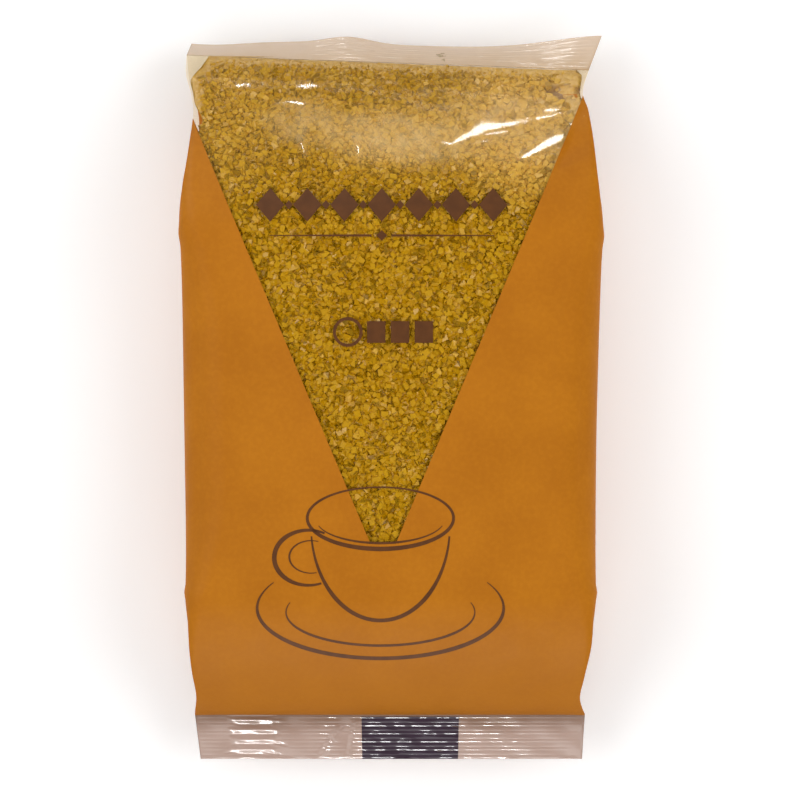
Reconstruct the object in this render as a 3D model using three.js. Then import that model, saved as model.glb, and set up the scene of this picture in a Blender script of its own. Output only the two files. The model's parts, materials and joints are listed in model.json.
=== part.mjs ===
// A side-gusseted film pouch filled tight with coarse cane sugar, lying on its back.
// X runs across the pouch, +Y towards its top seal and +Z out of its front. Millimetres.
// The pouch is one closed solid: the sugar-filled body with a crimped seal strip at each end.
import * as THREE from "three";
import { mergeVertices } from "three/addons/utils/BufferGeometryUtils.js";

// Overall form
const DEPTH = 43; // back panel to the front panel's edges where the pouch is full
const CROWN = 1.2; // rise of the front panel from its edges to its middle line
const CORNER_RADIUS = 9; // rounding of the four long edges where the pouch is full
const SIDE_BULGE = 2.2; // how far the filled side panels stand out of the long edges

// Places along the pouch and how far each side reaches out from the middle line there
const LEFT_SIDE = [
  [-78, 48.2],
  [-72.5, 47.4], // drawn in above the bottom strip
  [-66, 48.4],
  [-57, 49.4],
  [-5, 50.5],
  [35, 51],
  [49, 51.1], // widest, under the top shoulder
  [62, 49],
  [69, 48.1], // drawn in under the top strip
  [74, 48.7],
  [79, 50],
  [85, 50.1],
];
const RIGHT_SIDE = [
  [-78, 47.8],
  [-73.3, 46.2],
  [-68, 47.1],
  [-57, 49.4],
  [-5, 50.4],
  [30, 51.3],
  [46, 51.4],
  [60, 49.8],
  [70, 48.1],
  [74.3, 46.9],
  [81, 48.8],
];

// How the side panels unfold away from a seal
const GUSSET_EASE = 1.25; // 1 unfolds at a steady rate, more starts fast and ends softly
const BULGE_START = 0.4; // share of the settled distance at which they begin to stand out

// The two seals, each a crimped strip of pressed film
const SEAL_THICKNESS = 0.6;
const RIB_HEIGHT = 0.45; // crest to trough of the crimp, across the strip
const TOP = {
  y: 82.5, // where the strip leaves the body, at the middle line
  lean: -0.036, // slope of that line across the pouch
  z: 20, // and its height above the resting plane
  strip: 9.2, // length of the strip along its own slope
  reach: 5, // how much of that length lies along the pouch, the rest drooping
  waves: [
    { x: -46, spread: 14, reach: -1.5 },
    { x: -10.5, spread: 7.5, reach: 1.5 },
    { x: 54, spread: 20, reach: 3.6 },
  ],
  flare: { left: -0.7, right: 3.3 }, // how far the free corners stand out
  ribs: 9,
  slopeFront: 41, // length over which the front panel climbs to full depth
  slopeBack: 27,
  fullness: 1.42, // 1 is a straight gable, 2 a quarter round
  gusset: 46, // length over which the side panels unfold
  settled: 75, // distance at which the sides are fully rounded and stand out
};
const BOTTOM = {
  y: -78,
  lean: 0,
  z: 17,
  strip: 11.1,
  reach: 11,
  waves: [],
  flare: { left: -1.3, right: -0.6 },
  ribs: 11,
  slopeFront: 30,
  slopeBack: 22,
  fullness: 1.55,
  gusset: 33,
  settled: 55,
};

// Soft creases pressed into the front: a line, its depth and how far it spreads to each side
const CREASES = [
  { from: [47, 70], to: [10, 60], depth: 1.5, spread: 3.4 },
  { from: [48, 62], to: [28, 54], depth: 1.2, spread: 3.2 },
  { from: [-45, 72], to: [-14, 69], depth: 1.1, spread: 3.2 },
  { from: [-24, 66], to: [-16, 52], depth: 0.9, spread: 3 },
  { from: [-6, 66], to: [-7, 54], depth: 0.8, spread: 3 },
  { from: [46, -52], to: [31, -72], depth: 1, spread: 4.5 },
  { from: [-47, -56], to: [-37, -72], depth: 0.8, spread: 4.5 },
];

// Low swells where the sugar has settled unevenly
const SWELLS = [
  { height: 0.35, acrossX: 0.075, alongY: 0.041, shift: 0.6 },
  { height: 0.28, acrossX: 0.031, alongY: 0.083, shift: 2.1 },
  { height: 0.2, acrossX: 0.12, alongY: 0.06, shift: 4.4 },
];

// How finely the surface is divided
const COLUMNS = 22;
const SIDE_COLUMNS = 8;
const BODY_ROWS = 40;
const ROWS_PER_RIB = 2;
const FIRST_ROW = 0.4; // the body's first row clear of each seal
const CROWDING = 0.82; // share of a quarter wave that draws the columns towards the edges
const ROW_CROWDING = 0.75; // the same for the body's rows, towards both seals

const HALF_DEPTH = DEPTH / 2;
const HALF_SEAL = SEAL_THICKNESS / 2;
const TYPICAL_HALF_WIDTH = 49;

const bell = (offset, spread) => Math.exp(-((offset / spread) ** 2));

// A smooth curve through stations of [place, value].
function follow(stations, place) {
  const last = stations.length - 1;
  let i = 0;
  while (i < last - 1 && place > stations[i + 1][0]) i++;
  const slopeAt = (k) => {
    const before = stations[Math.max(0, k - 1)];
    const after = stations[Math.min(last, k + 1)];
    return (after[1] - before[1]) / (after[0] - before[0]);
  };
  const [a, valueA] = stations[i];
  const [b, valueB] = stations[i + 1];
  const span = b - a;
  const t = Math.min(1, Math.max(0, (place - a) / span));
  return (
    valueA * (1 + 2 * t) * (1 - t) ** 2 +
    valueB * (3 - 2 * t) * t ** 2 +
    slopeAt(i) * span * t * (1 - t) ** 2 -
    slopeAt(i + 1) * span * (1 - t) * t ** 2
  );
}

// How much of the full depth a panel has reached at share t of its slope.
function climb(t, fullness) {
  const left = 1 - Math.min(1, Math.max(0, t));
  return (1 - left ** fullness) ** (1 / fullness);
}

// The body's section at a place along it: panel heights, and the shape of its sides.
function section(y) {
  const end = y > 0 ? TOP : BOTTOM;
  const run = Math.abs(end.y - y);
  const climbed = climb(run / end.slopeFront, end.fullness);
  const front = end.z + HALF_SEAL + (DEPTH - end.z - HALF_SEAL) * climbed;
  const back = (end.z - HALF_SEAL) * (1 - climb(run / end.slopeBack, end.fullness));
  const settled = run / end.settled;
  const bulging = (settled - BULGE_START) / (1 - BULGE_START);
  const folded = Math.max(0, 1 - run / end.gusset) ** GUSSET_EASE;
  return {
    middle: (front + back) / 2,
    half: (front - back) / 2,
    radius: CORNER_RADIUS * THREE.MathUtils.smoothstep(settled, 0, 1),
    bulge: SIDE_BULGE * THREE.MathUtils.smoothstep(bulging, 0, 1),
    tuck: HALF_DEPTH * folded * Math.min(1, run / FIRST_ROW),
  };
}

// How far the side panel's outermost line stands out of the long edges.
function standOut(bulge, tuck) {
  return tuck < 2 * bulge ? (2 * bulge - tuck) ** 2 / (4 * bulge) : 0;
}

// The seal lines lean a little, and the body's rows lean with them as they come near.
function leanedY(x, y) {
  const end = y > 0 ? TOP : BOTTOM;
  return y + end.lean * x * (y / end.y) ** 2;
}

const sideReach = (side, y) => follow(side < 0 ? LEFT_SIDE : RIGHT_SIDE, y);

// How deep the creases are at a point of the front panel.
function creaseDepth(x, y) {
  let depth = 0;
  for (const crease of CREASES) {
    const [ax, ay] = crease.from;
    const [bx, by] = crease.to;
    const lengthSquared = (bx - ax) ** 2 + (by - ay) ** 2;
    const share = ((x - ax) * (bx - ax) + (y - ay) * (by - ay)) / lengthSquared;
    const along = Math.min(1, Math.max(0, share));
    const off = Math.hypot(x - ax - along * (bx - ax), y - ay - along * (by - ay));
    depth += crease.depth * bell(off, crease.spread);
  }
  return depth;
}

function swellHeight(x, y) {
  let height = 0;
  for (const swell of SWELLS) {
    height +=
      swell.height *
      Math.cos(swell.acrossX * x + swell.shift) *
      Math.cos(swell.alongY * y - swell.shift);
  }
  return height;
}

// A point of the body. across and up are -1 to 1 on the outline of a square section.
function bodyPoint(across, up, y) {
  const { middle, half, radius, bulge, tuck } = section(y);
  const side = Math.sign(across);
  const rowY = leanedY(across * TYPICAL_HALF_WIDTH, y);
  const edge = sideReach(side, rowY) - standOut(bulge, tuck);

  let x = Math.abs(across) * edge;
  let z = up * half;
  const cornerX = edge - radius;
  const cornerZ = half - radius;
  if (x > cornerX && Math.abs(z) > cornerZ) {
    const dx = x - cornerX;
    const dz = Math.abs(z) - cornerZ;
    const pull = radius / Math.hypot(dx, dz);
    x = cornerX + dx * pull;
    z = Math.sign(z) * (cornerZ + dz * pull);
  }
  if (Math.abs(across) === 1) x += bulge * (1 - up ** 2) - tuck * (1 - Math.abs(up));
  x *= side;

  if (up === 1) {
    const inward = Math.max(0, 1 - (x / edge) ** 2);
    const relief = swellHeight(x, rowY) - creaseDepth(x, rowY);
    z += (half / HALF_DEPTH) * (CROWN * inward + relief * Math.sqrt(inward));
  }
  return [x, rowY, middle + z];
}

// A point of a crimped strip, at share q of its length from the body.
function sealPoint(across, up, q, end, crimp) {
  const side = Math.sign(across);
  const outward = Math.sign(end.y);
  const lineY = (x) => end.y + end.lean * x;
  const edge = sideReach(side, lineY(side * TYPICAL_HALF_WIDTH));
  const flare = side < 0 ? end.flare.left : end.flare.right;
  const x = across * (edge + flare * q);
  let reach = end.reach;
  for (const wave of end.waves) reach += wave.reach * bell(x - wave.x, wave.spread);
  const droop = Math.sqrt(end.strip ** 2 - reach ** 2);
  return [
    x,
    lineY(across * TYPICAL_HALF_WIDTH) + outward * q * reach,
    end.z - q * droop + up * HALF_SEAL + crimp * (RIB_HEIGHT / 2),
  ];
}

// The rows of a strip from the body outwards, on the crests and troughs of its ribs.
function sealRows(end) {
  const count = end.ribs * ROWS_PER_RIB;
  const rows = [];
  for (let i = 1; i <= count; i++) {
    const crimp = i === count ? 0 : i % 2 ? 1 : -1;
    rows.push({ end, q: i / count, crimp });
  }
  return rows;
}

function bodyRows() {
  const rows = [{ y: BOTTOM.y }];
  const first = BOTTOM.y + FIRST_ROW;
  const last = TOP.y - FIRST_ROW;
  for (let i = 0; i <= BODY_ROWS; i++) {
    const even = i / BODY_ROWS;
    const wave = (1 - Math.cos(Math.PI * even)) / 2;
    const place = (1 - ROW_CROWDING) * even + ROW_CROWDING * wave;
    rows.push({ y: first + (last - first) * place });
  }
  rows.push({ y: TOP.y });
  return rows;
}

const ROWS = [...sealRows(BOTTOM).reverse(), ...bodyRows(), ...sealRows(TOP)];

// Even steps from -1 to 1 drawn towards both ends.
function crowded(step, count) {
  const even = (2 * step) / count - 1;
  const quarter = (Math.PI / 2) * CROWDING;
  return Math.sin(even * quarter) / Math.sin(quarter);
}

// A box divided into columns and rows, with each point moved to its place on the pouch.
function pouchGeometry() {
  const lastRow = ROWS.length - 1;
  const box = new THREE.BoxGeometry(2, 2, 2, COLUMNS, lastRow, SIDE_COLUMNS);
  box.deleteAttribute("normal");
  box.deleteAttribute("uv");
  const places = box.getAttribute("position");
  const stepOf = (value, count) => Math.round(((value + 1) / 2) * count);
  for (let i = 0; i < places.count; i++) {
    const across = crowded(stepOf(places.getX(i), COLUMNS), COLUMNS);
    const up = crowded(stepOf(places.getZ(i), SIDE_COLUMNS), SIDE_COLUMNS);
    const row = ROWS[stepOf(places.getY(i), lastRow)];
    const point = row.end
      ? sealPoint(across, up, row.q, row.end, row.crimp)
      : bodyPoint(across, up, row.y);
    places.setXYZ(i, ...point);
  }

  // The origin is on the resting plane, under the middle of the pouch.
  box.computeBoundingBox();
  const { min, max } = box.boundingBox;
  box.translate(-(min.x + max.x) / 2, -(min.y + max.y) / 2, -min.z);
  return mergeVertices(box, 1e-4);
}

const printedFilm = new THREE.MeshStandardMaterial({
  color: 0xb87221,
  roughness: 0.55,
  metalness: 0,
});

const pouch = new THREE.Mesh(pouchGeometry(), printedFilm);
pouch.name = "pouch";

const group = new THREE.Group();
group.add(pouch);

export default group;
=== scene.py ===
"""Dresses a pouch of brown sugar: printed film, a clear window, crimped seals and crystals."""

import json
from types import SimpleNamespace

import bmesh
import bpy
import numpy as np
from bpy.props import FloatProperty, FloatVectorProperty, IntProperty, PointerProperty
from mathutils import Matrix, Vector

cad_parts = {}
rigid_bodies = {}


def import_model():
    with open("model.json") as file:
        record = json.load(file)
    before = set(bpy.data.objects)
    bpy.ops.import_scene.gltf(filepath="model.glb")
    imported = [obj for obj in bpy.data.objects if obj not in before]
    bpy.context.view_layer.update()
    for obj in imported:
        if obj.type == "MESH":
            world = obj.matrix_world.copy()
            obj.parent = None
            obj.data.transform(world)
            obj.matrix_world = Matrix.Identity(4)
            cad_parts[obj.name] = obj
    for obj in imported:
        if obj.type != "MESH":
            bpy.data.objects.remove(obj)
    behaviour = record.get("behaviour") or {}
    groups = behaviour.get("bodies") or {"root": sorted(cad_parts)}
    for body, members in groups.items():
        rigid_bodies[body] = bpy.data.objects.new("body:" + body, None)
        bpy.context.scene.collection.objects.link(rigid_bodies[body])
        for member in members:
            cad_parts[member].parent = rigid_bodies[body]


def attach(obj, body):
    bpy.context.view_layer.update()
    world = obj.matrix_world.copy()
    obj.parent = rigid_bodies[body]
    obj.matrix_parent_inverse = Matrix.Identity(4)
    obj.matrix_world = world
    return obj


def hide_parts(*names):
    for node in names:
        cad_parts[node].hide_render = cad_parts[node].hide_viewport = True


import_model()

bl_info = {
    "name": "Pouch of brown sugar",
    "version": (1, 0, 0),
    "blender": (4, 5, 0),
    "location": "3D View > Sidebar > Pouch",
    "description": "Makes the film, print, seals and sugar of a lying pouch",
    "category": "Add Mesh",
}

BODY = "root"
NODE = "pouch"
MM = 0.001  # all sizes below are in millimetres

# Overall form of the pouch
DEPTH = 43.0
CROWN = 1.2
CORNER_RADIUS = 9.0
SIDE_BULGE = 2.2
GUSSET_EASE = 1.25
BULGE_START = 0.4
FIRST_ROW = 0.4
TYPICAL_HALF_WIDTH = 49.0
HALF_DEPTH = DEPTH / 2
THINNEST = 0.05  # least half thickness of an inset body

# Places along the pouch and how far each side reaches out from the middle line there
LEFT_SIDE = (
    (-78, 48.2), (-72.5, 47.4), (-66, 48.4), (-57, 49.4), (-5, 50.5), (35, 51),
    (49, 51.1), (62, 49), (69, 48.1), (74, 48.7), (79, 50), (85, 50.1),
)
RIGHT_SIDE = (
    (-78, 47.8), (-73.3, 46.2), (-68, 47.1), (-57, 49.4), (-5, 50.4), (30, 51.3),
    (46, 51.4), (60, 49.8), (70, 48.1), (74.3, 46.9), (81, 48.8),
)

# The two crimped seal strips
SEAL_THICKNESS = 0.6
RIB_HEIGHT = 0.45
TOP = SimpleNamespace(
    y=82.5, lean=-0.036, z=20.0, strip=9.2, reach=5.0, ribs=9,
    waves=((-46, 14, -1.5), (-10.5, 7.5, 1.5), (54, 20, 3.6)),
    flare_left=-0.7, flare_right=3.3,
    slope_front=41.0, slope_back=27.0, fullness=1.42, gusset=46.0, settled=75.0,
)
BOTTOM = SimpleNamespace(
    y=-78.0, lean=0.0, z=17.0, strip=11.1, reach=11.0, ribs=11,
    waves=(), flare_left=-1.3, flare_right=-0.6,
    slope_front=30.0, slope_back=22.0, fullness=1.55, gusset=33.0, settled=55.0,
)

# Soft creases pressed into the front: from, to, depth and spread
CREASES = (
    ((47, 70), (10, 60), 1.5, 3.4),
    ((48, 62), (28, 54), 1.2, 3.2),
    ((-45, 72), (-14, 69), 1.1, 3.2),
    ((-24, 66), (-16, 52), 0.9, 3.0),
    ((-6, 66), (-7, 54), 0.8, 3.0),
    ((46, -52), (31, -72), 1.0, 4.5),
    ((-47, -56), (-37, -72), 0.8, 4.5),
)
BRIDGED_CREASES = CREASES[:2]  # the slack film lies straight over these

# Low swells where the sugar has settled: height, waves across and along, shift
SWELLS = (
    (0.35, 0.075, 0.041, 0.6),
    (0.28, 0.031, 0.083, 2.1),
    (0.2, 0.12, 0.06, 4.4),
)

# The printed front: its tapering window and the lines where the print stops
WINDOW_AXIS = -1.76
WINDOW_BOTTOM = -34.9
WINDOW_FOOT = 3.0  # half of the window's width at its bottom
WINDOW_TAPER = 0.4207  # widening of each side for each millimetre up
PRINT_TOP_LEFT = 70.0
PRINT_TOP_RIGHT = 74.0
PRINT_TOP_BACK = 73.5

SHARP_ANGLE = 60  # edges of a sheet that turn more than this, in degrees, are crisp
FILM_THICKNESS = 0.12
INK_THICKNESS = 0.03
INK_CLEARANCE = 0.03

# Small bright lights that the folds and ribs catch: bearing from the right, angle down from
# straight up, width and height
KEY_LIGHTS = {
    "high_key": (99, 81, 0.6, 0.09),
    "side_key": (141, 54, 0.35, 0.3),
    "foot_key": (268, 66, 0.6, 0.15),
}

# Folds of the slack clear film: the light that each faces, then points of (x, y, half width)
FOLDS = (
    ("high_key", ((10.2, 62.0, 0.3), (14.6, 61.2, 0.6), (21.4, 64.8, 1.2), (26.8, 65.9, 0.45),
                  (33.3, 67.2, 0.25), (38.4, 68.1, 0.25), (43.5, 69.4, 0.25), (51, 71.6, 0.25))),
    ("high_key", ((29.0, 56.8, 0.4), (33.5, 58.8, 1.3), (38.0, 61.6, 2.0), (43.0, 64.4, 2.2),
                  (48.8, 67.4, 1.7), (54, 70.2, 1.4))),
    ("high_key", ((22.3, 63.5, 0.4), (28.6, 64.3, 0.55))),
    ("high_key", ((18.8, 61.2, 0.35), (24.4, 62.2, 0.45))),
    ("high_key", ((-29.0, 71.3, 0.35), (-24.5, 72.0, 0.6), (-20.0, 71.2, 0.9))),
    ("high_key", ((-39.0, 75.8, 0.22), (-34, 76.2, 0.22))),
    ("high_key", ((-38.0, 73.9, 0.22), (-34, 74.3, 0.22))),
    ("high_key", ((-23.0, 75.6, 0.22), (-18.5, 76.2, 0.22), (-14.6, 77.2, 0.2))),
    ("side_key", ((-22.4, 63.9, 0.5), (-21.6, 61.5, 0.75), (-20.2, 57.8, 0.5))),
    ("side_key", ((-8.4, 64.4, 0.9), (-8.0, 61.0, 0.8), (-7.4, 57.6, 0.6))),
    ("high_key", ((37.2, 70.0, 0.28), (41.4, 70.1, 0.28))),
)
FOLDS_FROM = 50  # all folds lie above this place along the pouch
FOLD_SOFTNESS = 1.35  # how far a fold's edges reach, in half widths
DULL = 0.02  # how much of a mirror the film is off its folds
SHINE_RIM = 0.15  # how far the clean mirror reaches past a fold

# Pillows of air under the film: from, to, height and spread
PILLOWS = (
    ((10, 56), (22, 60), 1.1, 4.5),
    ((22, 60), (34, 63), 1.4, 4.5),
    ((34, 63), (49, 65), 1.2, 4.5),
)

# The camera, which the folds are turned to
CAMERA_PLACE = (1.6, -0.65)
CAMERA_HEIGHT = 950.0


def direction(bearing, lean):
    """A unit vector towards a light."""
    bearing, lean = np.radians(bearing), np.radians(lean)
    flat = np.sin(lean)
    return np.array([flat * np.cos(bearing), flat * np.sin(bearing), np.cos(lean)])


def bell(offset, spread):
    """1 in the middle, falling away on both sides."""
    return np.exp(-((offset / spread) ** 2))


def smooth(value, low=0.0, high=1.0):
    """0 below low, 1 above high, smooth between."""
    t = np.clip((value - low) / (high - low), 0, 1)
    return t * t * (3 - 2 * t)


def follow(stations, place):
    """A smooth curve through stations of (place, value)."""
    at, value = np.array(stations, float).T
    before = np.concatenate([[0], np.arange(len(at) - 1)])
    after = np.concatenate([np.arange(1, len(at)), [len(at) - 1]])
    slope = (value[after] - value[before]) / (at[after] - at[before])
    i = np.clip(np.searchsorted(at, place) - 1, 0, len(at) - 2)
    span = at[i + 1] - at[i]
    t = np.clip((place - at[i]) / span, 0, 1)
    return (
        value[i] * (1 + 2 * t) * (1 - t) ** 2
        + value[i + 1] * (3 - 2 * t) * t**2
        + slope[i] * span * t * (1 - t) ** 2
        - slope[i + 1] * span * (1 - t) * t**2
    )


def of_end(y, name):
    """The nearer end's own value of one of its sizes, for each place along the pouch."""
    return np.where(y > 0, getattr(TOP, name), getattr(BOTTOM, name))


def climb(t, fullness):
    """A rounded rise from 0 to 1, steepest at its start."""
    left = 1 - np.clip(t, 0, 1)
    return (1 - left**fullness) ** (1 / fullness)


def section(y):
    """The body's panel heights and the shape of its sides at places along it."""
    run = np.abs(of_end(y, "y") - y)
    rise, fullness = of_end(y, "z"), of_end(y, "fullness")
    seal = SEAL_THICKNESS / 2
    climbed = climb(run / of_end(y, "slope_front"), fullness)
    front = rise + seal + (DEPTH - rise - seal) * climbed
    back = (rise - seal) * (1 - climb(run / of_end(y, "slope_back"), fullness))
    settled = run / of_end(y, "settled")
    folded = np.maximum(0, 1 - run / of_end(y, "gusset")) ** GUSSET_EASE
    return SimpleNamespace(
        middle=(front + back) / 2,
        half=(front - back) / 2,
        radius=CORNER_RADIUS * smooth(settled),
        bulge=SIDE_BULGE * smooth(settled, BULGE_START),
        tuck=HALF_DEPTH * folded * np.minimum(1, run / FIRST_ROW),
        run=run,
    )


def side_reach(across, y):
    """How far the left or right side reaches out at places along the pouch."""
    return np.where(across < 0, follow(LEFT_SIDE, y), follow(RIGHT_SIDE, y))


def panel_edge(s, reach):
    """Where the front and back panels end, inside the bulging sides."""
    room = np.maximum(0, 2 * s.bulge - s.tuck)
    stand = room**2 / (4 * np.maximum(s.bulge, 1e-9))
    return reach - np.where(s.bulge > 1e-6, stand, 0)


def lean_at(y):
    """How much rows lean: as the seal lines do next to them, and less farther off."""
    return of_end(y, "lean") * (y / of_end(y, "y")) ** 2


def leaned(across, y):
    """The true place along the pouch of a row's points."""
    return y + lean_at(y) * across * TYPICAL_HALF_WIDTH


def off_line(x, y, start, end):
    """Distance from a straight line between two points."""
    ax, ay = start
    bx, by = end
    length_squared = (bx - ax) ** 2 + (by - ay) ** 2
    along = np.clip(((x - ax) * (bx - ax) + (y - ay) * (by - ay)) / length_squared, 0, 1)
    return np.hypot(x - ax - along * (bx - ax), y - ay - along * (by - ay))


def settled_relief(x, y):
    """Swells and soft creases that the film and the sugar under it share."""
    height = np.zeros_like(x)
    for rise, across, along, shift in SWELLS:
        height += rise * np.cos(across * x + shift) * np.cos(along * y - shift)
    for start, end, depth, spread in CREASES:
        height -= depth * bell(off_line(x, y, start, end), spread)
    return height


def ripples(x, y, seed, count, shortest, longest, height, stretch=1.0):
    """A number of random waves, their lengths in a range and their crests drawn out in x."""
    random = np.random.default_rng(seed)
    total = np.zeros_like(x)
    for _ in range(count):
        turn = random.uniform(0, 2 * np.pi)
        length = shortest * (longest / shortest) ** random.uniform()
        phase = random.uniform(0, 2 * np.pi)
        wave = 2 * np.pi / length
        total += np.cos(
            wave * (np.cos(turn) * x / stretch + np.sin(turn) * y) + phase
        )
    return total * height * np.sqrt(2 / count)


SLACK_PLACE, SLACK_SPREAD = 66, 13  # along the pouch
# Ripples: seed, number of waves, shortest, longest, height, and how far drawn out across
SLACK_RIPPLES = (8, 30, 6, 16, 0.09, 1.6)
SHOULDER_RIPPLES = (12, 20, 2.5, 6, 0.035, 0.7)


def slack(x, y):
    """How loosely the clear film lies on the sugar: most under the top shoulder."""
    return bell(y - SLACK_PLACE, SLACK_SPREAD) * smooth(51 - np.abs(x), 0, 9)


def slack_relief(x, y):
    """Broad shape of the slack film: ripples, air under it, and creases that it bridges."""
    height = ripples(x, y, *SLACK_RIPPLES) * slack(x, y)
    height += ripples(x, y, *SHOULDER_RIPPLES) * smooth(y, 69, 76)
    pillow = np.zeros_like(x)
    for start, end, rise, spread in PILLOWS:
        pillow = np.maximum(pillow, rise * bell(off_line(x, y, start, end), spread))
    for start, end, depth, spread in BRIDGED_CREASES:
        height += depth * bell(off_line(x, y, start, end), spread)
    return height + pillow


# Patches of painted sheen on the clear film, where it would mirror the light broadly: place, reach
# and strength
SHEEN_PATCHES = (
    (-21, 67, 9, 5, 1.2), (-3, 63.5, 11, 6, 1.5), (9, 61, 9, 5, 1.3), (30, 66, 20, 9, 1.1),
)
EVEN_SHEEN = 0.2  # painted sheen of the slack film outside the patches


def painted_sheen(x, y):
    """How much painted sheen lies on the clear film at a place: a milky layer standing for its
    broad reflection.
    """
    total = EVEN_SHEEN * (slack(x, y) + smooth(y, 70, 80))
    for px, py, across, along, strength in SHEEN_PATCHES:
        total += strength * np.exp(-((((x - px) / across) ** 2 + ((y - py) / along) ** 2) ** 1.5))
    return total * (0.85 + ripples(x, y, 31, 24, 3, 9, 0.16))


def facing_fold(light, points):
    """Places along a fold, its half widths, and the heights and slopes that mirror the light."""
    corners = np.array(points, float)
    at = np.linspace(0, len(corners) - 1, 10 * (len(corners) - 1) + 1)
    x, y, width = (np.interp(at, np.arange(len(corners)), column) for column in corners.T)
    step = 0.5
    near = [
        front_height(x + dx, y + dy, folds=False) for dx, dy in ((0, 0), (step, 0), (0, step))
    ]
    slope = np.stack([near[1] - near[0], near[2] - near[0]], axis=-1) / step
    place = np.stack([x, y, near[0]], axis=-1) - CENTRE
    view = np.array([*CAMERA_PLACE, CAMERA_HEIGHT]) - place
    towards = direction(*KEY_LIGHTS[light][:2])
    half = view / np.linalg.norm(view, axis=-1, keepdims=True) + towards
    wanted = -half[:, :2] / half[:, 2:]
    run = np.gradient(np.stack([x, y], axis=-1), axis=0)
    run /= np.linalg.norm(run, axis=-1, keepdims=True)
    side = np.stack([-run[:, 1], run[:, 0]], axis=-1)
    tilt = ((wanted - slope) @ towards[:2]) / (side @ towards[:2])
    return np.stack([x, y], axis=-1), width, near[0], slope + tilt[:, None] * side


def near_fold(x, y, places, width):
    """How much of a fold there is at each place, and the share of each of its points in that."""
    off = np.hypot(x[:, None] - places[:, 0], y[:, None] - places[:, 1])
    share = (off + 0.15) ** -6
    share /= share.sum(axis=1, keepdims=True)
    along = np.linspace(0, 1, len(places))
    fade = smooth(np.minimum(along, 1 - along), -0.01, 0.12)
    reach = np.min(off / (FOLD_SOFTNESS * width), axis=1)
    return np.exp(-(reach**4)) * (share @ fade), share


def folded(points, clear):
    """Heights of the film's points with its folds, each a facet that faces a light."""
    height = points[:, 2].copy()
    window = np.flatnonzero((clear > 0) & (points[:, 1] > FOLDS_FROM))
    x, y, _ = points[window].T
    for light, corners in FOLDS:
        places, width, middle, slope = facing_fold(light, corners)
        amount, share = near_fold(x, y, places, width)
        level = share @ (middle - (slope * places).sum(axis=1))
        facet = level + (share @ slope[:, 0]) * x + (share @ slope[:, 1]) * y
        height[window] += amount * clear[window] * (facet - height[window])
    return height


def shine(x, y):
    """How clean a mirror the clear film is: best on the folds, dulled where sugar dust clings."""
    total = np.full_like(x, DULL)
    window = np.flatnonzero(y > FOLDS_FROM)
    for light, corners in FOLDS:
        places, width, _, _ = facing_fold(light, corners)
        amount, _ = near_fold(x[window], y[window], places, width + SHINE_RIM)
        total[window] = np.maximum(total[window], amount)
    return total


def body_points(steps, inset=0.0, side_inset=0.0, slack_film=False, folds=False):
    """Points of the filled body, for steps (across, y, up) on a square section's outline."""
    across, y, up = steps.T
    s = section(y)
    row_y = leaned(across, y)
    half = np.maximum(s.half - inset, THINNEST)
    share = half / s.half  # an inset body must also stay clear of the folded gussets
    edge = panel_edge(s, side_reach(across, row_y))
    edge = edge - side_inset - s.tuck * (1 - share)

    x = np.abs(across) * edge
    z = up * half
    dx = x - (edge - s.radius)
    dz = np.abs(z) - (half - s.radius)
    rounded = (dx > 0) & (dz > 0)
    pull = np.where(rounded, s.radius / np.maximum(np.hypot(dx, dz), 1e-9), 1)
    x = np.where(rounded, edge - s.radius + dx * pull, x)
    z = np.where(rounded, np.sign(z) * (half - s.radius + dz * pull), z)

    on_side = np.abs(across) > 1 - 1e-6
    side = s.bulge * (1 - up**2) - s.tuck * share * (1 - np.abs(up))
    crease = GUSSET_CREASE * bell(z, GUSSET_CREASE_SPREAD) * smooth(s.run, 0, 30)
    x = np.where(on_side, x + side - crease, x)
    x *= np.sign(across)

    inward = np.maximum(0, 1 - (x / edge) ** 2)
    fullness = half / HALF_DEPTH
    relief = settled_relief(x, row_y)
    clear = smooth(window_margin(x, row_y), -1.5, 1.0)
    if slack_film:
        relief = relief + slack_relief(x, row_y) * clear / np.maximum(fullness, 0.25)
    lift = fullness * (CROWN * inward + relief * np.sqrt(inward))
    z = np.where(up > 1 - 1e-6, z + lift, z)
    on_back = up < -1 + 1e-6
    z = np.where(on_back, z + seam_lift(x) * fullness * ~on_side, z)
    points = np.stack([x, row_y, s.middle + z], axis=-1)
    if folds:
        points[:, 2] = folded(points, clear * (up > 1 - 1e-6))
    return points


# The crease down each side panel, left from its fold
GUSSET_CREASE = 0.4
GUSSET_CREASE_SPREAD = 0.9

# The seam down the back, folded flat, and the slack film beside it
SEAM_LEFT, SEAM_RIGHT = -5.0, 6.0
SEAM_THICKNESS = 0.3
SEAM_CLEARANCE = 0.02
SEAM_ROOM, SEAM_SIDE_ROOM = 0.06, 0.4  # to spare over the seam and on each side of it
SEAM_SLACK = 9.0


def seam_lift(x):
    """How far the back film stands in to make room for the seam."""
    off = np.maximum(SEAM_LEFT - x, x - SEAM_RIGHT) - SEAM_SIDE_ROOM
    return (SEAM_THICKNESS + SEAM_ROOM) * np.clip(1 - off / SEAM_SLACK, 0, 1)


def seal_points(steps, end, rib_shape):
    """Points of a crimped strip, for steps (across, q, up), q running out from the body."""
    across, q, up = steps.T
    outward = np.sign(end.y)
    line_y = end.y + end.lean * across * TYPICAL_HALF_WIDTH
    corner_y = end.y + end.lean * np.sign(across) * TYPICAL_HALF_WIDTH
    flare = np.where(across < 0, end.flare_left, end.flare_right)
    x = across * (side_reach(across, corner_y) + flare * q)
    reach = np.full_like(x, end.reach)
    for place, spread, more in end.waves:
        reach += more * bell(x - place, spread)
    droop = np.sqrt(end.strip**2 - reach**2)
    half = SEAL_THICKNESS / 2
    z = end.z - q * droop + up * half + rib_shape(x, q)
    return np.stack([x, line_y + outward * q * reach, z], axis=-1)


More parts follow.
